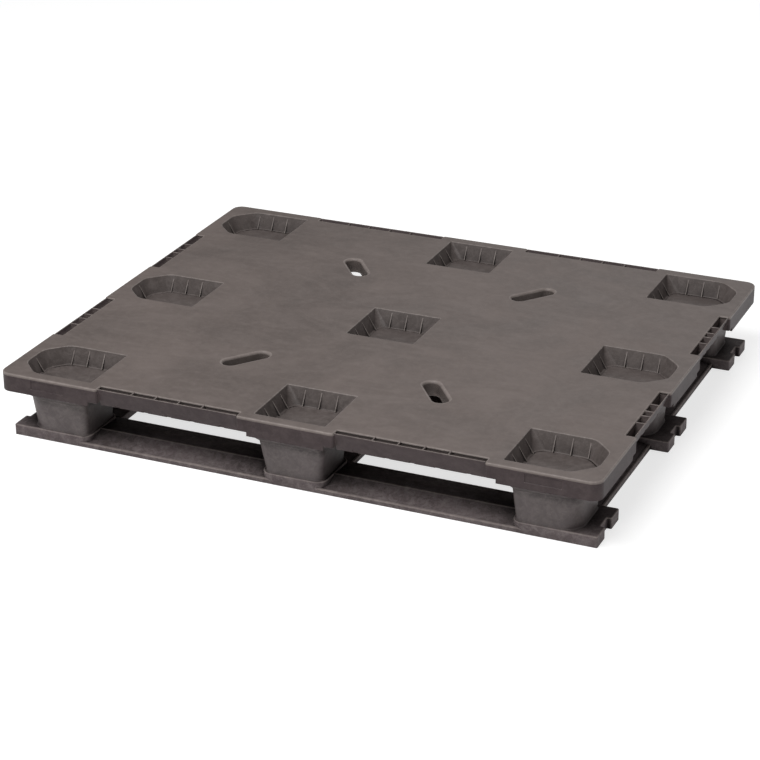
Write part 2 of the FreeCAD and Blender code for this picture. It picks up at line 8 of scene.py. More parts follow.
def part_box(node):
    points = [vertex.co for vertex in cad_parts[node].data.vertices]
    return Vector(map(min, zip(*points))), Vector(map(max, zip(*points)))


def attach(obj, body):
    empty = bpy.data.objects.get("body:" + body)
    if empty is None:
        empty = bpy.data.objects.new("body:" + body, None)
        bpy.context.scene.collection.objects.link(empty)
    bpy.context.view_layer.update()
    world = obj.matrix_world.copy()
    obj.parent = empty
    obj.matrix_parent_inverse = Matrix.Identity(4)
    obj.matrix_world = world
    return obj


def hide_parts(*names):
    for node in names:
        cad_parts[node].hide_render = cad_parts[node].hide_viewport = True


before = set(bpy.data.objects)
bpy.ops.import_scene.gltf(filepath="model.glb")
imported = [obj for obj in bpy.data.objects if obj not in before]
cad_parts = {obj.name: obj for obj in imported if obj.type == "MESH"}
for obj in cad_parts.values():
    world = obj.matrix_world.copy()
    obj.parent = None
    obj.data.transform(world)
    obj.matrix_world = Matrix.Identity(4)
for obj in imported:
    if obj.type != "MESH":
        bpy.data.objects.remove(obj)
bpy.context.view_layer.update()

# Four-way rackable plastic pallet. Shapes are worked out in millimetres from the frame's own nodes, and each
# piece is scaled to metres as it is made. Columns and rows of feet run -1, 0, 1: left to right and front to
# back.

METRES = 0.001


def limits(node):
    low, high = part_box(node)
    return low / METRES, high / METRES


PLATE, DECK = limits("deck_plate")
PLATE_LOW, TOP = PLATE.z, DECK.z
HALF_X, HALF_Y = DECK.x, DECK.y
SKIRT_LOW = limits("front_block_skirt")[0].z
LONG_LOW, LONG_HIGH = limits("front_channel_right")
SHORT_LOW, SHORT_HIGH = limits("right_channel_back")
SKID_LOW, SKID_HIGH = limits("front_skid")
RUNNER_LOW, RUNNER_HIGH = limits("right_runner_back")
MID_RUNNER = limits("middle_runner_back")[1].x
BASE = SKID_HIGH.z
SKID_HALF = (SKID_HIGH.y - SKID_LOW.y) / 2
SKID_Y = (SKID_HIGH.y + SKID_LOW.y) / -2

# Deck edges
LIP = 2.4
EDGE = 1.2
WALL = 5.0
DECK_CORNER = 22.0
BLOCK_CORNER = 5.0
PLATE_CORNER = 1.5
SKIRT_STEP = 8.0
STEP_LENGTH = 21.0
CHANNEL_WALL = 4.0
CHANNEL_LIP = 2.4
CHANNEL_RIB = 3.0
CHANNEL_LEAN = 5.0
CHANNEL_INSET = HALF_Y + LONG_LOW.y
LONG_EDGE = -LONG_HIGH.y + CHANNEL_WALL + CHANNEL_LEAN
SHORT_EDGE = SHORT_LOW.x + CHANNEL_WALL + CHANNEL_LEAN
LONG_CELLS = (75.0, 49.5, 49.5, 49.5, 71.5)
SHORT_CELLS = (60.0, 32.0, 22.0, 32.0, 60.0)
DRAIN_HALF = 5.0
DRAIN_HEIGHT = 6.0
DRAIN_DEPTH = 2.5

# Blank plaques on the front corners
PLAQUE_X = (468.5, 539.5)
PLAQUE_Z = (TOP - 26.0, TOP - 7.0)
PLAQUE_DEPTH = 1.5
PLAQUE_CORNER = 1.5

# Pockets and legs
FOOT_X = 502.75
FOOT_Y = 412.4
POCKET_MID = (72.6, 72.0)
POCKET_SIDE = (82.75, 71.0)
POCKET_CUT = 40.0
POCKET_DEPTH = 33.0
POCKET_INSET = 15.0
LEDGE = 6.0
LEDGE_DROP = 4.5
MOUTH_ROUND = 3.0
CUT_ROUND = 30.0
FLOOR_ROUND = 22.0
FILLET = 3.0
POCKET_SLOPE = math.atan2(POCKET_DEPTH, POCKET_INSET)
FIN_PITCH = 34.0
FIN_THICK = 2.4
FIN_FOOT = 4.5
FIN_START = 5.0
CUP = 4.0
ROOF = 5.0
ROOF_ROUND = 6.0
LEG_KNEE = TOP - 54.0
LEG_ROUND = 14.0
LEG_OUTER_ROUND = 38.0
KNEE_TAPER = 4.5
KNEE_MID_TAPER = 9.0
KNEE_FRONT = 9.0
KNEE_FLARE = 1.2
LEG_X_MID = (-58.0, 58.0)
LEG_X_SIDE = (440.0, 563.0)
LEG_Y_MID = (-56.0, 56.0)
LEG_Y_SIDE = (366.0, 478.0)

# Slots
SLOT_X = 200.0
SLOT_Y = 263.0
SLOT_HALF = 49.0
SLOT_ROUND = 16.0
SLOT_LIP = 5.0
COLLAR = 4.0
COLLAR_LOW = limits("slot_collars")[0].z

# Base
PAD_MID = 66.0
PAD_SIDE = 434.0
PAD_ROUND = 22.0
PAD_END_ROUND = 3.0
PAD_BAY_ROUND = 10.0
PAD_LIP = 2.0
RAIL_ROUND = 0.5
RAIL_BAYS = 3
RAIL_BAY_ROUND = 3.0
BOTTOM = 0.2
BEAD = 9.8
BEAD_WIDTH = 5.0
RIDGE = 48.0
RIDGE_WIDTH = 2.5
RIDGE_RUN = 11.5
RIDGE_STEP = 5.4
INNER_EDGE = 14.0
NOTCH_HALF = 18.0
NOTCH_DEPTH = 9.0
NOTCH_ROUND = 3.0
NOTCH_FOOT_ROUND = 1.5
SKIN = 5.0

# Between two places that make an upright step in a wall
STEP_GAP = 0.05

# Meshes: corners nearer than MERGE are one, edges shorter than SLIVER go, and flatter edges than SMOOTH_ANGLE
# are shaded smooth
MERGE = 0.004
SLIVER = 0.002
SMOOTH_ANGLE = math.radians(40.0)

# A face takes the painted edge highlight where it is narrower, bends outwards by more and faces up by more
# than this
HIGHLIGHT_WIDTH = 2.1
HIGHLIGHT_BEND = 0.15
HIGHLIGHT_RISE = 0.1

FEET = [(column, row) for row in (-1, 0, 1) for column in (-1, 0, 1)]
SLOTS = [(column, row) for column in (-1, 1) for row in (-1, 1)]
COLUMN_NAMES = {-1: "left", 0: "middle", 1: "right"}
ROW_NAMES = {-1: "front", 0: "middle", 1: "back"}


# ---------------------------------------------------------------- outlines, in plan

def rounded(corners, steps=8):
    """Points round a closed outline of (x, y, radius) corners."""
    points = []
    for i, (x, y, radius) in enumerate(corners):
        corner = Vector((x, y))
        before = (Vector(corners[i - 1][:2]) - corner).normalized()
        after = (Vector(corners[(i + 1) % len(corners)][:2]) - corner).normalized()
        half = before.angle(after) / 2
        centre = corner + (before + after).normalized() * radius / math.sin(half)
        spoke = corner + before * radius / math.tan(half) - centre
        turn = math.copysign(math.pi - 2 * half, -before.cross(after))
        for step in range(steps + 1):
            sine, cosine = math.sin(turn * step / steps), math.cos(turn * step / steps)
            points.append(centre + Vector((spoke.x * cosine - spoke.y * sine,
                                           spoke.x * sine + spoke.y * cosine)))
    return points


def rectangle(x0, x1, y0, y1, radius):
    return [(x0, y0, radius), (x1, y0, radius), (x1, y1, radius), (x0, y1, radius)]


def outward(points, closed=True):
    """At each point, the step that moves its two sides outwards by one, for an anticlockwise outline."""
    steps = []
    last = len(points) - 1
    for i, point in enumerate(points):
        before = points[i - 1] if closed or i else None
        after = points[(i + 1) % len(points)] if closed or i < last else None
        sides = []
        for a, b in ((before, point), (point, after)):
            if a is not None and b is not None and (b - a).length > 1e-4:
                side = (b - a).normalized()
                sides.append(Vector((side.y, -side.x)))
        first, second = sides[0], sides[-1]
        steps.append((first + second) / (1 + first.dot(second)))
    return steps


def grown(points, distance):
    return [p + step * distance for p, step in zip(points, outward(points))]


def level(points, z):
    return [Vector((p.x, p.y, z)) for p in points]


def rim_profile(radius, slope=math.pi / 2, steps=4):
    """(back from the edge, down) places over a rounded edge, from a flat top to a wall falling at slope."""
    start = radius * math.tan(slope / 2)
    places = [(start + 0.4, 0.0)]
    for step in range(steps + 1):
        angle = slope * step / steps
        places.append((start - radius * math.sin(angle), radius * (1 - math.cos(angle))))
    return places


POCKET_RIM = rim_profile(LIP, POCKET_SLOPE)
SLOT_RIM = rim_profile(SLOT_LIP)


# ---------------------------------------------------------------- meshes

class Skin:
    """A mesh in the making, in millimetres."""

    def __init__(self):
        self.mesh = bmesh.new()

    def face(self, verts):
        distinct = []
        for vert in verts:
            if not distinct or vert is not distinct[-1]:
                distinct.append(vert)
        if len(distinct) > 2:
            self.mesh.faces.new(distinct)

    def band(self, rings, closed=True):
        """Quads between each ring of points and the next."""
        rows = [[self.mesh.verts.new(point) for point in ring] for ring in rings]
        for low, high in zip(rows, rows[1:]):
            for i in range(len(low) if closed else len(low) - 1):
                j = (i + 1) % len(low)
                self.face([low[i], low[j], high[j], high[i]])

    def cap(self, ring):
        self.face([self.mesh.verts.new(point) for point in ring])

    def sheet(self, outlines, z):
        """Flat face at height z: the first outline, less the others."""
        points = [point for outline in outlines for point in level(outline, z)]
        verts = [self.mesh.verts.new(point) for point in points]
        for a, b, c in geometry.tessellate_polygon([level(outline, z) for outline in outlines]):
            self.face([verts[a], verts[b], verts[c]])

    def prism(self, rings):
        """Closed solid through the rings."""
        self.band(rings)
        self.cap(rings[0])
        self.cap(rings[-1])

    def piece(self, name, material, slot, nodes, flip=(False, False), turn=0.0):
        """The finished object, mirrored or turned in plan, standing for CAD nodes."""
        mesh = self.mesh
        bmesh.ops.remove_doubles(mesh, verts=mesh.verts, dist=MERGE)
        bmesh.ops.dissolve_degenerate(mesh, edges=mesh.edges, dist=SLIVER)
        bmesh.ops.recalc_face_normals(mesh, faces=mesh.faces)
        if turn:
            turned = Euler((0, 0, turn)).to_matrix()
            bmesh.ops.transform(mesh, matrix=turned.to_4x4(), verts=mesh.verts)
        scale = Vector((-METRES if flip[0] else METRES, -METRES if flip[1] else METRES, METRES))
        bmesh.ops.scale(mesh, vec=scale, verts=mesh.verts)
        if flip[0] != flip[1]:
            bmesh.ops.reverse_faces(mesh, faces=mesh.faces)
        for edge in mesh.edges:
            edge.smooth = len(edge.link_faces) == 2 and edge.calc_face_angle(0) < SMOOTH_ANGLE
        # Faces that take the painted edge highlight
        highlit_edge = mesh.faces.layers.float.new("highlit_edge")
        for face in mesh.faces:
            face.smooth = True
            width = face.calc_area() / max(edge.calc_length() for edge in face.edges)
            bend = sum(edge.calc_face_angle_signed(0) for edge in face.edges if not edge.is_boundary)
            narrow = width < HIGHLIGHT_WIDTH * METRES
            face[highlit_edge] = float(narrow and bend > HIGHLIGHT_BEND and face.normal.z > HIGHLIGHT_RISE)
        data = bpy.data.meshes.new(name)
        mesh.to_mesh(data)
        mesh.free()
        thing = bpy.data.objects.new(name, data)
        bpy.context.scene.collection.objects.link(thing)
        weigh = thing.modifiers.new("even shading", "WEIGHTED_NORMAL")
        weigh.keep_sharp = True
        data.materials.append(material)
        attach(thing, "root")
        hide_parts(*nodes)


# ---------------------------------------------------------------- materials

class Nodes:
    """Short hand for building a material's node tree."""

    def __init__(self, name):
        self.material = bpy.data.materials.new(name)
        self.material.use_nodes = True
        self.tree = self.material.node_tree
        self.shader = self.tree.nodes["Principled BSDF"]
        place = self.tree.nodes.new("ShaderNodeTexCoord")
        self.place = place.outputs["Object"]

    def link(self, out, socket):
        self.tree.links.new(out, socket)

    def height(self):
        node = self.tree.nodes.new("ShaderNodeSeparateXYZ")
        self.link(self.place, node.inputs["Vector"])
        return node.outputs["Z"]

    def stretched(self, x, y, z):
        node = self.tree.nodes.new("ShaderNodeMapping")
        node.inputs["Scale"].default_value = (x, y, z)
        self.link(self.place, node.inputs["Vector"])
        return node.outputs["Vector"]

    def noise(self, scale, detail=4.0, rough=0.55, warp=0.0, where=None):
        node = self.tree.nodes.new("ShaderNodeTexNoise")
        node.inputs["Scale"].default_value = scale
        node.inputs["Detail"].default_value = detail
        node.inputs["Roughness"].default_value = rough
        node.inputs["Distortion"].default_value = warp
        self.link(where or self.place, node.inputs["Vector"])
        return node.outputs["Fac"]

    def crevices(self, reach):
        """1 where the surface is open, less where other surfaces close it in."""
        node = self.tree.nodes.new("ShaderNodeAmbientOcclusion")
        node.samples = 8
        node.inputs["Distance"].default_value = reach
        return node.outputs["AO"]

    def edges(self):
        """1 on rounded outer edges that face upwards: where the painted edge highlight goes."""
        node = self.tree.nodes.new("ShaderNodeAttribute")
        node.attribute_name = "highlit_edge"
        return node.outputs["Fac"]

    def spread(self, out, low, high, to_low=0.0, to_high=1.0):
        """The value taken from the range low..high to the range to_low..to_high."""
        node = self.tree.nodes.new("ShaderNodeMapRange")
        for key, value in zip(("From Min", "From Max", "To Min", "To Max"), (low, high, to_low, to_high)):
            node.inputs[key].default_value = value
        self.link(out, node.inputs["Value"])
        return node.outputs["Result"]

    def maths(self, kind, first, second):
        node = self.tree.nodes.new("ShaderNodeMath")
        node.operation = kind
        for socket, value in zip(node.inputs, (first, second)):
            if isinstance(value, float):
                socket.default_value = value
            else:
                self.link(value, socket)
        return node.outputs["Value"]

    def mix(self, amount, first, second):
        """One colour over another, by amount."""
        node = self.tree.nodes.new("ShaderNodeMix")
        node.data_type = "RGBA"
        sockets = [s for s in node.inputs if s.type == "RGBA"]
        self.link(amount, node.inputs["Factor"])
        for socket, value in zip(sockets, (first, second)):
            if isinstance(value, tuple):
                socket.default_value = value + (1.0,)
            else:
                self.link(value, socket)
        return [s for s in node.outputs if s.type == "RGBA"][0]

    def bump(self, height, distance, strength, under=None):
        node = self.tree.nodes.new("ShaderNodeBump")
        node.inputs["Strength"].default_value = strength
        node.inputs["Distance"].default_value = distance
        self.link(height, node.inputs["Height"])
        if under is not None:
            self.link(under, node.inputs["Normal"])
        return node.outputs["Normal"]

    def finish(self, colour, roughness, normal):
        self.link(colour, self.shader.inputs["Base Color"])
        self.link(roughness, self.shader.inputs["Roughness"])
        self.link(normal, self.shader.inputs["Normal"])
        return self.material


# Painted highlight: pale colour laid on narrow upward rounded edges
EDGE_HIGHLIGHT = (0.25, 0.215, 0.20)
# Painted shade: near-black colour laid into closed-in places
PAINTED_SHADE = (0.005, 0.004, 0.004)
HOLLOW_PAINT_REACH = 0.15
# Painted shadow of the skirts on the legs: dark from just under the skirt, fading out below the knee
SKIRT_SHADOW_START = SKIRT_LOW + 0.9
SKIRT_SHADOW_FULL = SKIRT_LOW + 0.1
SHADOW_FADE_START = LEG_KNEE - 3
SHADOW_FADE_FULL = LEG_KNEE - 13


def moulded_plastic(name, main, dark, light, speckle, grain, sheen, hollow, foot=None):
    """Recycled plastic: cloudy colour, drawn-out flow marks, fine speckle, scuffs, a pale painted highlight
    on upward rounded edges and a moulded grain. Where it is closed in, it takes the hollow's (colour,
    amount): painted shade where that colour is dark, painted light where it is pale. A foot gets a painted
    skirt shadow from its (shoulder, lower leg) colours, dark just under the skirt and fading to the lower leg
    colour below the knee."""
    nodes = Nodes(name)
    clouds = nodes.spread(nodes.noise(4.5, 6.0, 0.62, 0.9), 0.34, 0.66)
    flow = nodes.spread(nodes.noise(5.0, 7.0, 0.68, 3.0, nodes.stretched(0.9, 1.7, 1.0)), 0.42, 0.68)
    specks = nodes.spread(nodes.noise(520.0, 2.0, 0.6), 0.60, 0.74)
    blotch = nodes.spread(nodes.noise(70.0, 6.0, 0.72, 0.6), 0.44, 0.70)
    scuffs = nodes.spread(nodes.noise(38.0, 8.0, 0.75, 2.5, nodes.stretched(1.0, 6.0, 3.0)), 0.63, 0.70)
    body = main
    # Painted shadow: the shoulder colour is the skirt's shadow, and the lower leg colour is the lit leg below
    # it
    if foot:
        shoulder, lower = foot
        skirt_shadow_mask = nodes.spread(nodes.height(), METRES * SKIRT_SHADOW_START, METRES * SKIRT_SHADOW_FULL)
        body = nodes.mix(skirt_shadow_mask, main, shoulder)
        shadow_fade_mask = nodes.spread(nodes.height(), METRES * SHADOW_FADE_START, METRES * SHADOW_FADE_FULL)
        body = nodes.mix(shadow_fade_mask, body, lower)
    colour = nodes.mix(nodes.spread(clouds, 0.0, 1.0, 0.6, 0.0), body, dark)
    colour = nodes.mix(nodes.maths("MULTIPLY", flow, 0.26), colour, light)
    colour = nodes.mix(nodes.maths("MULTIPLY", blotch, speckle), colour, light)
    colour = nodes.mix(nodes.maths("MULTIPLY", specks, speckle), colour, light)
    colour = nodes.mix(nodes.maths("MULTIPLY", scuffs, 0.3), colour, light)
    # Painted light from the occlusion mask: hollows, corners and the space under the deck take the hollow
    # colour, as painted shade where it is dark and as painted light inside the skirt troughs where it is pale
    hollow_paint_mask = nodes.spread(nodes.crevices(HOLLOW_PAINT_REACH), 0.30, 0.60, hollow[1], 0.0)
    colour = nodes.mix(hollow_paint_mask, colour, hollow[0])
    # Painted highlight on narrow upward rounded edges, mottled by the blotches
    edge_highlight_amount = nodes.maths("MULTIPLY", nodes.edges(), nodes.spread(blotch, 0.0, 1.0, 0.45, 0.85))
    colour = nodes.mix(edge_highlight_amount, colour, EDGE_HIGHLIGHT)
    roughness = nodes.maths("ADD", nodes.spread(clouds, 0.0, 1.0, 0.42, 0.52),
                            nodes.maths("MULTIPLY", hollow_paint_mask, 0.4))
    waves = nodes.bump(nodes.noise(9.0, 2.0, 0.5), 0.0015, 0.25)
    fine = nodes.bump(nodes.noise(700.0, 3.0, 0.6), 0.0003, grain, waves)
    nodes.shader.inputs["Specular IOR Level"].default_value = sheen
    return nodes.finish(colour, roughness, fine)


def zinc_steel():
    nodes = Nodes("zinc plated steel")
    clouds = nodes.spread(nodes.noise(300.0, 4.0), 0.35, 0.7)
    colour = nodes.mix(clouds, (0.42, 0.42, 0.40), (0.62, 0.62, 0.60))
    nodes.shader.inputs["Metallic"].default_value = 1.0
    return nodes.finish(colour, nodes.spread(clouds, 0.0, 1.0, 0.28, 0.42),
                        nodes.bump(nodes.noise(2500.0), 0.0001, 0.3))


# The hollow colours below are painted light: near-black painted shade for deck, feet and base, and a pale
# painted light for the skirt troughs
DECK_PLASTIC = moulded_plastic("deck plastic", (0.137, 0.111, 0.101), (0.078, 0.063, 0.057),
                               (0.215, 0.180, 0.167), 0.24, 0.3, 0.28, (PAINTED_SHADE, 0.96))
# Painted shade: a darker copy of the deck plastic for the pockets and legs, with the skirts' painted shadow
# on the legs
SHADED_FOOT_PLASTIC = moulded_plastic("foot plastic in painted shade", (0.088, 0.072, 0.067), (0.056, 0.045, 0.042),
                               (0.180, 0.154, 0.146), 0.42, 0.4, 0.25, (PAINTED_SHADE, 0.8),
                               ((0.034, 0.026, 0.027), (0.094, 0.077, 0.078)))
# Painted shade: a darker copy of the deck plastic for the upright skirts and troughs
SHADED_SKIRT_PLASTIC = moulded_plastic("skirt plastic in painted shade", (0.048, 0.036, 0.037), (0.034, 0.025, 0.026),
                                (0.098, 0.077, 0.076), 0.30, 0.4, 0.10, ((0.150, 0.123, 0.117), 0.9))
BASE_PLASTIC = moulded_plastic("base plastic", (0.126, 0.102, 0.104), (0.056, 0.044, 0.044),
                               (0.270, 0.232, 0.229), 0.58, 0.6, 0.06, (PAINTED_SHADE, 0.98))
STEEL = zinc_steel()


# ---------------------------------------------------------------- slots

def slot_outline(column, row):
    points = rounded(rectangle(-SLOT_HALF, SLOT_HALF, -SLOT_ROUND, SLOT_ROUND, SLOT_ROUND - 0.01), 12)
    turn = math.atan2(row * SLOT_Y, column * SLOT_X)
    centre = Vector((column * SLOT_X, row * SLOT_Y))
    cosine, sine = math.cos(turn), math.sin(turn)
    return [centre + Vector((p.x * cosine - p.y * sine, p.x * sine + p.y * cosine))
            for p in points]


def slot_collars():
    """Lip and upright wall of each slot, in one mesh."""
    skin = Skin()
    for place in SLOTS:
        mouth = slot_outline(*place)
        outer = grown(mouth, COLLAR)
        skin.band([level(grown(mouth, back), TOP - down) for back, down in SLOT_RIM]
                  + [level(mouth, COLLAR_LOW + EDGE), level(grown(mouth, EDGE), COLLAR_LOW),
                     level(grown(mouth, COLLAR - EDGE), COLLAR_LOW), level(outer, COLLAR_LOW + EDGE),
                     level(outer, PLATE_LOW)])
    return skin


# ---------------------------------------------------------------- pockets and legs

def pocket_outline(side, grow, corner_round):
    """A pocket centred on its foot: square in the middle column, with two corners cut off at the sides."""
    half_x, half_y = POCKET_SIDE if side else POCKET_MID
    x, y = half_x + grow, half_y + grow
    if not side:
        return rounded(rectangle(-x, x, -y, y, corner_round))
    cut = POCKET_CUT + grow * (2 - math.sqrt(2))
    return rounded([
        (-x, -y, corner_round), (x - cut, -y, CUT_ROUND), (x, -y + cut, CUT_ROUND),
        (x, y - cut, CUT_ROUND), (x - cut, y, CUT_ROUND), (-x, y, corner_round),
    ])


def pocket_round(down):
    """Corner radius of a pocket, sharp at the mouth and rounder with depth."""
    return MOUTH_ROUND + (FLOOR_ROUND - MOUTH_ROUND) * min(max(down / POCKET_DEPTH, 0.0), 1.0)


def placed(points, column, row):
    """Points of the right-hand foot at the origin, put at a foot's place."""
    flip = -1 if column < 0 else 1
    return [Vector((flip * p.x + column * FOOT_X, p.y + row * FOOT_Y)) for p in points]


def pocket_profile():
    """(grow, down, corner radius) of each ring, from the mouth over the lip, down the wall and over the
    ledge to the floor."""
    rings = [(back, down, pocket_round(down)) for back, down in POCKET_RIM]
    reach = FILLET * math.tan(POCKET_SLOPE / 2)
    for step in range(5):
        angle = POCKET_SLOPE * (1 - step / 4)
        down = POCKET_DEPTH - FILLET * (1 - math.cos(angle))
        rings.append((-POCKET_INSET - reach + FILLET * math.sin(angle), down, pocket_round(down)))
    ledge_end = -POCKET_INSET - LEDGE
    ledge_round = FLOOR_ROUND - LEDGE
    for back, down in rim_profile(EDGE, steps=3):
        rings.append((ledge_end + back, POCKET_DEPTH + down, ledge_round + back))
    floor = POCKET_DEPTH + LEDGE_DROP
    for back, up in reversed(rim_profile(EDGE, steps=3)):
        rings.append((ledge_end - back, floor - up, ledge_round - back))
    return rings


def pocket_fins(side):
    """Gussets on the sloping walls, flush at the top and standing proud at the foot."""
    half_x, half_y = POCKET_SIDE if side else POCKET_MID
    rise = TOP - POCKET_DEPTH
    fins = []
    for turn, half in enumerate((half_y, half_x, half_y, half_x)):
        steps = (0,) if side and turn == 3 else (-1, 0, 1)
        for step in steps:
            low = half - POCKET_INSET
            high = half - POCKET_INSET * FIN_START / POCKET_DEPTH
            rings = []
            for place, thick in ((-1.0, 0.0), (-0.6, 0.8), (0.6, 0.8), (1.0, 0.0)):
                x = step * FIN_PITCH + place * FIN_THICK / 2
                proud = FIN_FOOT * (1 if thick else 0.82)
                rings.append([Vector((x, high + 1.5, TOP - FIN_START)), Vector((x, high, TOP - FIN_START)),
                              Vector((x, low - proud, rise + 0.8)), Vector((x, low - proud, rise - 1)),
                              Vector((x, low + 2.5, rise - 1))])
            spin = Euler((0, 0, turn * math.pi / 2)).to_matrix()
            fins.append([[spin @ point for point in ring] for ring in rings])
    return fins


def leg_sides(side, end, share, front_taper):
    """(x0, x1, y0, y1) of a leg in the quarter with column and row not negative, at a share of its taper."""
    x0, x1 = LEG_X_SIDE if side else LEG_X_MID
    y0, y1 = LEG_Y_SIDE if end else LEG_Y_MID
    grow_x = share * (KNEE_TAPER if side else KNEE_MID_TAPER)
    grow_y = share * KNEE_TAPER
    return x0 - grow_x, x1 + grow_x, y0 - grow_y, y1 + (front_taper if end else grow_y)


def leg_ring(side, end, z, share, front_taper, flange):
    """Ring round a leg, grown by the flange."""
    x0, x1, y0, y1 = leg_sides(side, end, share, front_taper)
    x0, x1, y0, y1 = x0 - flange, x1 + flange, y0 - flange, y1 + flange
    outer_back = LEG_OUTER_ROUND if side else LEG_ROUND
    outer_front = LEG_OUTER_ROUND if side and not end else LEG_ROUND
    corners = [(x0, y0, LEG_ROUND), (x1, y0, outer_front), (x1, y1, outer_back), (x0, y1, LEG_ROUND)]
    return level(rounded(corners, 10), z)


def leg_profile():
    """(z, share of the side taper, front taper, flange) of each ring, from the base up to the roof."""
    rings = [(BASE, 0.0, 0.0, 2.2), (BASE + 0.8, 0.0, 0.0, 0.8), (BASE + 2.6, 0.02, 0.2, 0.0)]
    bend_low, bend_high = LEG_KNEE - 4, LEG_KNEE + 4
    shoulder = HALF_Y - LEG_Y_SIDE[1] - 0.5
    rise = (shoulder - KNEE_FRONT) / (SKIRT_LOW - LEG_KNEE)
    for step in range(6):
        share = step / 5
        z = bend_low + share * (bend_high - bend_low)
        rings.append((z, 0.95 + 0.1 * share, KNEE_FRONT - 0.4 + rise * 4 * share * share + 0.4 * share, 0.0))
    rings.append((SKIRT_LOW - 1, KNEE_FLARE, shoulder - 0.5, 0.0))
    rings.append((SKIRT_LOW, KNEE_FLARE, shoulder, 0.0))
    return rings


def foot(side, end):
    """One foot, with column and row not negative: pocket, gussets, cup, roof and tapered leg."""
    skin = Skin()
    rings = [level(placed(pocket_outline(side, grow, radius), side, end), TOP - down)
             for grow, down, radius in pocket_profile()]
    skin.band(rings)
    skin.cap(rings[-1])
    shift = Vector((side * FOOT_X, end * FOOT_Y, 0))
    for fin in pocket_fins(side):
        skin.prism([[point + shift for point in ring] for ring in fin])
    cup_down = ((PLATE_LOW, TOP - PLATE_LOW), (SKIRT_LOW, POCKET_DEPTH))
    cup = []
    for z, down in cup_down:
        outline = pocket_outline(side, CUP - POCKET_INSET * down / POCKET_DEPTH, pocket_round(down) + CUP)
        cup.append(level(placed(outline, side, end), z))
    skin.band(cup)
    roof = rounded(rectangle(*leg_sides(side, end, KNEE_FLARE, HALF_Y - WALL - LEG_Y_SIDE[1]), ROOF_ROUND))
    skin.prism([level(roof, SKIRT_LOW), level(roof, SKIRT_LOW + ROOF)])
    skin.band([leg_ring(side, end, *place) for place in leg_profile()])
    return skin


# ---------------------------------------------------------------- deck plate

def deck_outline():
    """The deck in plan, cut back at the eight edge channels."""
    front, right = [], []
    for start, stop in ((-LONG_HIGH.x, -LONG_LOW.x), (LONG_LOW.x, LONG_HIGH.x)):
        front += [(start, -HALF_Y, BLOCK_CORNER), (start, -LONG_EDGE, PLATE_CORNER),
                  (stop, -LONG_EDGE, PLATE_CORNER), (stop, -HALF_Y, BLOCK_CORNER)]
    for start, stop in ((-SHORT_HIGH.y, -SHORT_LOW.y), (SHORT_LOW.y, SHORT_HIGH.y)):
        right += [(HALF_X, start, BLOCK_CORNER), (SHORT_EDGE, start, PLATE_CORNER),
                  (SHORT_EDGE, stop, PLATE_CORNER), (HALF_X, stop, BLOCK_CORNER)]
    half = [(-HALF_X, -HALF_Y, DECK_CORNER)] + front + [(HALF_X, -HALF_Y, DECK_CORNER)] + right
    return rounded(half + [(-x, -y, radius) for x, y, radius in half])


def deck_plate():
    skin = Skin()
    outline = deck_outline()
    rim = rim_profile(LIP)
    mouths = [grown(slot_outline(*place), SLOT_RIM[0][0]) for place in SLOTS]
    mouths += [placed(pocket_outline(abs(column), POCKET_RIM[0][0], MOUTH_ROUND), column, row)
               for column, row in FEET]
    skin.sheet([grown(outline, -rim[0][0])] + mouths, TOP)
    skin.band([level(grown(outline, -back), TOP - down) for back, down in rim] + [level(outline, PLATE_LOW)])
    cup = CUP - POCKET_INSET * (TOP - PLATE_LOW) / POCKET_DEPTH
    below = [grown(slot_outline(*place), COLLAR) for place in SLOTS]
    below += [placed(pocket_outline(abs(column), cup, MOUTH_ROUND + CUP), column, row)
              for column, row in FEET]
    skin.sheet([outline] + below, PLATE_LOW)
    return skin


# ---------------------------------------------------------------- skirts and edge channels

def wall_along(places):
    """Skirt wall along open (x, y, lower edge) places: its outside on the right, its lower edge rounded."""
    skin = Skin()
    path = [Vector(place[:2]) for place in places]
    section = [(0.0, None)] + [(EDGE * (1 - math.cos(a)), EDGE * (1 - math.sin(a))) for a in
                               (math.pi / 2 * step / 3 for step in range(4))]
    section += [(WALL - inset, up) for inset, up in reversed(section)]
    rings = []
    for point, step, (_, _, low) in zip(path, outward(path, closed=False), places):
        rings.append([Vector((*(point - step * inset), PLATE_LOW if up is None else low + up))
                      for inset, up in section])
    skin.band(rings, closed=False)
    skin.cap(rings[0])
    skin.cap(rings[-1])
    return skin


def corner_places(x, y, radius, start, stop, low, steps=8):
    """Places round a corner: from the angle start to the angle stop about a centre radius in from it."""
    places = []
    for step in range(steps + 1):
        angle = math.radians(start + (stop - start) * step / steps)
        places.append((x + radius * math.cos(angle), y + radius * math.sin(angle), low))
    return places


def block_skirt(half, edge, plate_edge):
    """Skirt of a mid-side foot block on the front edge, its lower edge stepped up at both ends."""
    up, r = SKIRT_LOW + SKIRT_STEP, BLOCK_CORNER
    step = half - STEP_LENGTH
    return wall_along(
        [(-half, -plate_edge + WALL, up)] + corner_places(-half + r, -edge + r, r, 180, 270, up)
        + [(-step, -edge, up), (-step + STEP_GAP, -edge, SKIRT_LOW)]
        + [(step - STEP_GAP, -edge, SKIRT_LOW), (step, -edge, up)]
        + corner_places(half - r, -edge + r, r, 270, 360, up) + [(half, -plate_edge + WALL, up)])


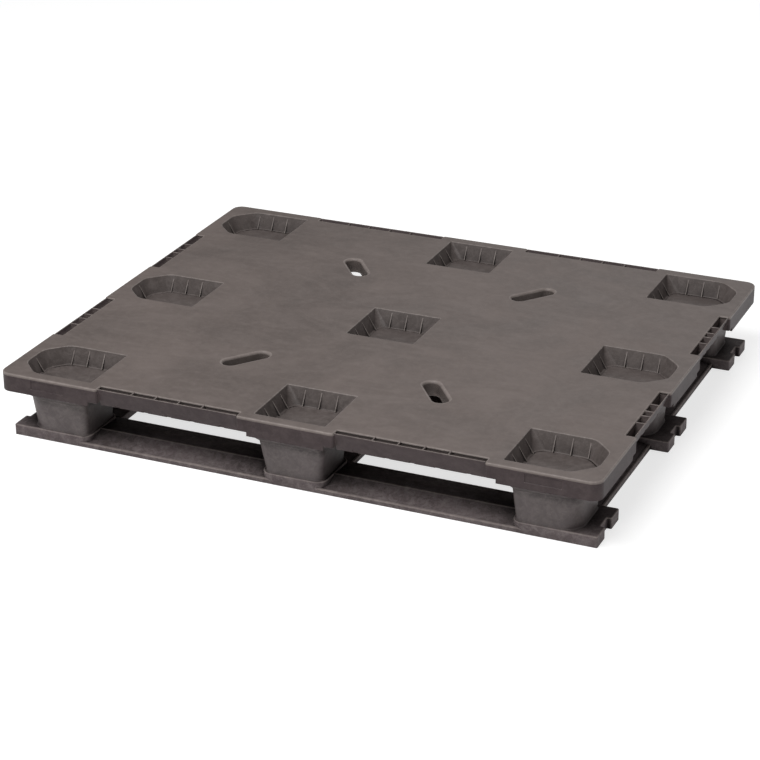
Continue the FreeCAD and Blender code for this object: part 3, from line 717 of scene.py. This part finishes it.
def blank_plaque(skin):
    """Shallow recess in the flat front of a corner skirt."""
    (x0, x1), (z0, z1), y = PLAQUE_X, PLAQUE_Z, -HALF_Y
    flat = [face for face in skin.mesh.faces
            if all(abs(vert.co.y - y) < 0.01 for vert in face.verts)
            and min(vert.co.x for vert in face.verts) < x0 and max(vert.co.x for vert in face.verts) > x1
            and min(vert.co.z for vert in face.verts) < z0]
    border = [vert.co.copy() for vert in flat[0].verts]
    bmesh.ops.delete(skin.mesh, geom=flat, context="FACES_ONLY")
    outline = rounded(rectangle(x0, x1, z0, z1, PLAQUE_CORNER), 4)
    mouth = [Vector((p.x, y, p.y)) for p in outline]
    back = [Vector((p.x, y + PLAQUE_DEPTH, p.y)) for p in grown(outline, -PLAQUE_DEPTH)]
    verts = [skin.mesh.verts.new(point) for point in border + mouth]
    for corners in geometry.tessellate_polygon([border, mouth]):
        skin.face([verts[i] for i in corners])
    skin.band([mouth, back])
    skin.cap(back)


def corner_skirt(plaque):
    """Skirt round the front right corner, its lower edge stepped up at both ends."""
    up, r, big = SKIRT_LOW + SKIRT_STEP, BLOCK_CORNER, DECK_CORNER
    x0, y0 = LONG_HIGH.x, SHORT_HIGH.y
    x_step, y_step = x0 + STEP_LENGTH, y0 + STEP_LENGTH
    skin = wall_along(
        [(x0, -LONG_EDGE + WALL, up)] + corner_places(x0 + r, -HALF_Y + r, r, 180, 270, up)
        + [(x_step, -HALF_Y, up), (x_step + STEP_GAP, -HALF_Y, SKIRT_LOW)]
        + corner_places(HALF_X - big, -HALF_Y + big, big, 270, 360, SKIRT_LOW, 14)
        + [(HALF_X, -y_step - STEP_GAP, SKIRT_LOW), (HALF_X, -y_step, up)]
        + corner_places(HALF_X - r, -y0 - r, r, 0, 90, up) + [(SHORT_EDGE - WALL, -y0, up)])
    if plaque:
        blank_plaque(skin)
    return skin


def channel(span, cells, edge, plate_edge):
    """Open trough along the front edge: leaning outer wall with drains, floor, inner wall and cross ribs."""
    skin = Skin()
    top, low, high_floor = -edge + CHANNEL_INSET, SKIRT_LOW, SKIRT_LOW + CHANNEL_WALL
    foot_y, inner_y = -plate_edge - CHANNEL_WALL, -plate_edge + CHANNEL_LEAN
    lean = (foot_y - top) / (TOP - low)
    drain_top = low + DRAIN_HEIGHT
    at_drain = top + lean * (TOP - drain_top)

    def section(x, drained):
        back = top + CHANNEL_LIP
        sill = (at_drain + DRAIN_DEPTH, drain_top) if drained else (foot_y - lean * 1.2, low + 1.2)
        toe = (foot_y + DRAIN_DEPTH, low) if drained else (foot_y + 1.2, low)
        corners = [(top + 1.0, TOP), (top + 0.3, TOP - 0.3), (top, TOP - 1.0),
                   (at_drain, drain_top), sill, toe,
                   (inner_y + CHANNEL_WALL, low), (-plate_edge + CHANNEL_WALL, PLATE_LOW),
                   (-plate_edge, PLATE_LOW), (inner_y - 2, high_floor + 6), (inner_y - 4, high_floor),
                   (foot_y + CHANNEL_WALL + 2, high_floor), (foot_y + CHANNEL_WALL - 0.5, high_floor + 5),
                   (back, TOP - 1.0), (back - 0.3, TOP - 0.3), (back - 1.0, TOP)]
        return [Vector((x, y, z)) for y, z in corners]

    rings = [section(span[0], False)]
    start = span[0]
    for cell in cells:
        middle = start + cell / 2
        for x, drained in ((-DRAIN_HALF, False), (-DRAIN_HALF + STEP_GAP, True),
                           (DRAIN_HALF - STEP_GAP, True), (DRAIN_HALF, False)):
            rings.append(section(middle + x, drained))
        start += cell
        if start < span[1] - 1:
            rib = [(top + 1.0, TOP - 1.4), (foot_y, low + 1), (inner_y, low + 1), (-plate_edge, PLATE_LOW),
                   (-plate_edge, TOP - LIP), (-plate_edge + LIP, TOP - 0.8), (-plate_edge + LIP, TOP),
                   (top + 1.6, TOP)]
            stations = []
            for place, drop in ((-1.0, 0.8), (-0.55, 0.0), (0.55, 0.0), (1.0, 0.8)):
                x = start + place * CHANNEL_RIB / 2
                stations.append([Vector((x, y, min(z, TOP - drop))) for y, z in rib])
            skin.prism(stations)
    rings.append(section(span[1], False))
    skin.band(rings)
    return skin


# ---------------------------------------------------------------- base

def rail_section(half, both_sides):
    """Section across a rail: rounded bead, slope and step up to a ridge, then down to the inner edge."""
    outer = [(-half, BOTTOM), (-half, BEAD - 2.4), (-half + 0.5, BEAD - 1.1), (-half + 1.5, BEAD - 0.3),
             (-half + 2.8, BEAD), (-half + BEAD_WIDTH - 0.6, BEAD), (-half + BEAD_WIDTH + 1, BEAD - 1.0),
             (-half + BEAD_WIDTH + 14, BEAD + 1.6), (-half + RIDGE - RIDGE_RUN, BASE - RIDGE_STEP),
             (-half + RIDGE - 1.4, BASE - 0.8), (-half + RIDGE - 0.5, BASE - 0.1),
             (-half + RIDGE + 0.4, BASE)]
    if both_sides:
        return outer + [(-y, z) for y, z in reversed(outer)]
    return outer + [(-half + RIDGE + RIDGE_WIDTH, BASE), (-half + RIDGE + RIDGE_WIDTH + 1.2, BASE - 0.5),
                    (half - 1.5, INNER_EDGE), (half, INNER_EDGE - 1.4), (half, BOTTOM)]


def underside(skin, outline, bays, bay_round, z):
    """Flat underside with a hollow let into it at each (x0, x1, y0, y1, depth) bay."""
    mouths = [rounded(rectangle(x0, x1, y0, y1, bay_round), 4) for x0, x1, y0, y1, _ in bays]
    skin.sheet([outline] + mouths, z)
    for mouth, (_, _, _, _, depth) in zip(mouths, bays):
        skin.band([level(mouth, z), level(mouth, z + depth)])
        skin.cap(level(mouth, z + depth))


def rail(skin, start, stop, half, both_sides):
    """Rail along X with its hollow underside in three bays."""
    section = rail_section(half, both_sides)
    skin.band([[Vector((x, y, z)) for y, z in section] for x in (start, stop)], closed=False)
    step = (stop - start) / RAIL_BAYS
    side = half - SKIN - 3
    bays = [(start + step * i + SKIN, start + step * (i + 1) - SKIN, -side, side, BEAD - 2)
            for i in range(RAIL_BAYS)]
    underside(skin, rounded(rectangle(start, stop, -half, half, RAIL_ROUND), 2), bays, RAIL_BAY_ROUND, BOTTOM)


def pad(skin, x0, x1, left_round, right_round, notch):
    """Raised pad on a skid: rounded upper edge, a notch in its free end, hollow underneath in four bays."""
    y = SKID_HALF
    corners = [(x0, -y, left_round), (x1, -y, right_round), (x1, y, right_round), (x0, y, left_round)]
    if notch > 0:
        foot_x = x1 - NOTCH_DEPTH
        corners[2:2] = [(x1, -NOTCH_HALF, NOTCH_ROUND), (foot_x, -NOTCH_HALF, NOTCH_FOOT_ROUND),
                        (foot_x, NOTCH_HALF, NOTCH_FOOT_ROUND), (x1, NOTCH_HALF, NOTCH_ROUND)]
    if notch < 0:
        foot_x = x0 + NOTCH_DEPTH
        corners += [(x0, NOTCH_HALF, NOTCH_ROUND), (foot_x, NOTCH_HALF, NOTCH_FOOT_ROUND),
                    (foot_x, -NOTCH_HALF, NOTCH_FOOT_ROUND), (x0, -NOTCH_HALF, NOTCH_ROUND)]
    outline = rounded(corners, 8)
    rim = [level(grown(outline, -back), BASE - down) for back, down in rim_profile(PAD_LIP)]
    skin.cap(rim[0])
    skin.band(rim + [level(outline, 0.0)])
    middle = (x0 + x1) / 2
    bays = []
    for a, b in ((x0 + SKIN, middle - SKIN / 2), (middle + SKIN / 2, x1 - SKIN)):
        if notch < 0 and a < middle:
            a += NOTCH_DEPTH
        if notch > 0 and b > middle:
            b -= NOTCH_DEPTH
        bays += [(a, b, -y + SKIN, -SKIN / 2, BASE - SKIN), (a, b, SKIN / 2, y - SKIN, BASE - SKIN)]
    underside(skin, outline, bays, PAD_BAY_ROUND, 0.0)


def skid(both_sides):
    """Skid along X, seen from the front: three pads joined by two rails."""
    skin = Skin()
    end = SKID_HIGH.x
    pad(skin, -end, -PAD_SIDE, PAD_END_ROUND, PAD_ROUND, -1)
    pad(skin, -PAD_MID, PAD_MID, PAD_ROUND, PAD_ROUND, 0)
    pad(skin, PAD_SIDE, end, PAD_ROUND, PAD_END_ROUND, 1)
    for sign in (-1, 1):
        start, stop = sorted((sign * (PAD_MID - PAD_ROUND), sign * (PAD_SIDE + PAD_ROUND)))
        rail(skin, start, stop, SKID_HALF, both_sides)
    return skin


def moved_skin(skin, x, y, turn=0.0):
    """The skin turned about the origin, then moved in plan."""
    bmesh.ops.transform(skin.mesh, matrix=Euler((0, 0, turn)).to_matrix().to_4x4(), verts=skin.mesh.verts)
    bmesh.ops.translate(skin.mesh, vec=Vector((x, y, 0)), verts=skin.mesh.verts)
    return skin


def runner(both_sides):
    """Cross runner on the right, from the middle skid to the back skid."""
    skin = Skin()
    half = MID_RUNNER if both_sides else (RUNNER_HIGH.x - RUNNER_LOW.x) / 2
    rail(skin, SKID_HALF, SKID_Y - SKID_HALF, half, both_sides)
    centre = 0.0 if both_sides else (RUNNER_HIGH.x + RUNNER_LOW.x) / 2
    return moved_skin(skin, centre, 0, math.pi / 2)


# ---------------------------------------------------------------- the pallet

def build():
    deck = (DECK_PLASTIC, "deck_plastic")
    skirt = (SHADED_SKIRT_PLASTIC, "deck_plastic")
    leg = (SHADED_FOOT_PLASTIC, "deck_plastic")
    base = (BASE_PLASTIC, "base_plastic")
    deck_plate().piece("deck_top", *deck, ["deck_plate"])
    slot_collars().piece("slot_walls", *deck, ["slot_collars"])
    for column, row in FEET:
        name = f"leg_{ROW_NAMES[row]}_{COLUMN_NAMES[column]}"
        foot(abs(column), abs(row)).piece(name + "_moulding", *leg, [name], (column < 0, row < 0))
    for row in (-1, 1):
        front = ROW_NAMES[row]
        block = block_skirt(LONG_LOW.x, HALF_Y, LONG_EDGE)
        block.piece(f"{front}_block_wall", *skirt, [f"{front}_block_skirt"], (False, row > 0))
        for column in (-1, 1):
            side = COLUMN_NAMES[column]
            flip = (column < 0, row > 0)
            name = f"{front}_{side}_corner"
            corner_skirt(row < 0).piece(name + "_wall", *skirt, [name + "_skirt"], flip)
            long_channel = channel((LONG_LOW.x, LONG_HIGH.x), LONG_CELLS, HALF_Y, LONG_EDGE)
            long_channel.piece(f"{front}_trough_{side}", *skirt, [f"{front}_channel_{side}"], flip)
            short_channel = channel((SHORT_LOW.y, SHORT_HIGH.y), SHORT_CELLS, HALF_X, SHORT_EDGE)
            short_channel.piece(f"{side}_trough_{front}", *skirt, [f"{side}_channel_{front}"],
                                (column < 0, row < 0), math.pi / 2)
    for column in (-1, 1):
        side = COLUMN_NAMES[column]
        block = block_skirt(SHORT_LOW.y, HALF_X, SHORT_EDGE)
        block.piece(f"{side}_block_wall", *skirt, [f"{side}_block_skirt"], (column < 0, False), math.pi / 2)
    for row in (-1, 0, 1):
        rail_piece = skid(row == 0)
        if row:
            moved_skin(rail_piece, 0, -SKID_Y)
        rail_piece.piece(f"{ROW_NAMES[row]}_base_skid", *base, [f"{ROW_NAMES[row]}_skid"], (False, row > 0))
    for row in (-1, 1):
        for column in (-1, 0, 1):
            name = f"{COLUMN_NAMES[column]}_runner_{ROW_NAMES[row]}"
            runner(column == 0).piece(name + "_bar", *base, [name], (column < 0, row < 0))
    for node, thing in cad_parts.items():
        metal = node.endswith("_screws")
        if metal or node.endswith("_ribs"):
            thing.data.materials.clear()
            thing.data.materials.append(STEEL if metal else DECK_PLASTIC)


# ---------------------------------------------------------------- floor, light and camera

FLOOR_SIZE = 40.0
FLOOR_GLOW = 0.70
WORLD_GLOW = 0.28
WHITE = (1.0, 1.0, 1.0, 1.0)
SOFT_BOXES = {
    "overhead_softbox": ((-0.7, -1.9, 3.9), (3.2, 2.4), 160.0),
    "front_softbox": ((-1.8, -4.2, 1.9), (2.0, 1.4), 12.0),
    "back_softbox": ((-0.4, 3.6, 1.9), (2.0, 1.2), 7.0),
}
LENS = 111.4
CAMERA_PLACE = (1.7284, -3.9958, 1.9811)
CAMERA_AZIMUTH = math.radians(23.765)
CAMERA_ELEVATION = math.radians(24.226)
CAMERA_ROLL = math.radians(-0.27)


def look(thing, place, target, roll=0.0):
    thing.location = place
    aim = (Vector(target) - Vector(place)).to_track_quat("-Z", "Y")
    thing.rotation_mode = "QUATERNION"
    thing.rotation_quaternion = aim @ Euler((0, 0, roll)).to_quaternion()


def floor():
    data = bpy.data.meshes.new("studio_floor")
    mesh = bmesh.new()
    bmesh.ops.create_grid(mesh, x_segments=1, y_segments=1, size=FLOOR_SIZE)
    mesh.to_mesh(data)
    mesh.free()
    thing = bpy.data.objects.new("studio_floor", data)
    bpy.context.scene.collection.objects.link(thing)
    nodes = Nodes("white studio floor")
    colour = nodes.mix(nodes.noise(0.5, 2.0), (0.50, 0.50, 0.50), (0.52, 0.52, 0.52))
    nodes.shader.inputs["Emission Color"].default_value = WHITE
    nodes.shader.inputs["Emission Strength"].default_value = FLOOR_GLOW
    data.materials.append(nodes.finish(colour, nodes.spread(nodes.noise(2.0), 0, 1, 0.6, 0.7),
                                       nodes.bump(nodes.noise(20.0), 0.0005, 0.05)))


def soft_box(name, place, size, power):
    data = bpy.data.lights.new(name, "AREA")
    data.shape = "RECTANGLE"
    data.size, data.size_y = size
    data.energy = power
    thing = bpy.data.objects.new(name, data)
    bpy.context.scene.collection.objects.link(thing)
    look(thing, place, (0, 0, 0))


def studio():
    floor()
    for name, (place, size, power) in SOFT_BOXES.items():
        soft_box(name, place, size, power)
    world = bpy.data.worlds.new("studio")
    world.use_nodes = True
    world.node_tree.nodes["Background"].inputs["Color"].default_value = WHITE
    world.node_tree.nodes["Background"].inputs["Strength"].default_value = WORLD_GLOW
    bpy.context.scene.world = world
    bpy.context.scene.view_settings.view_transform = "Standard"


def camera():
    data = bpy.data.cameras.new("camera")
    data.lens = LENS
    thing = bpy.data.objects.new("camera", data)
    bpy.context.scene.collection.objects.link(thing)
    place = Vector(CAMERA_PLACE)
    level_reach = math.cos(CAMERA_ELEVATION)
    ahead = Vector((-math.sin(CAMERA_AZIMUTH) * level_reach, math.cos(CAMERA_AZIMUTH) * level_reach,
                    -math.sin(CAMERA_ELEVATION)))
    look(thing, place, place + ahead, CAMERA_ROLL)
    bpy.context.scene.camera = thing


build()
studio()
camera()
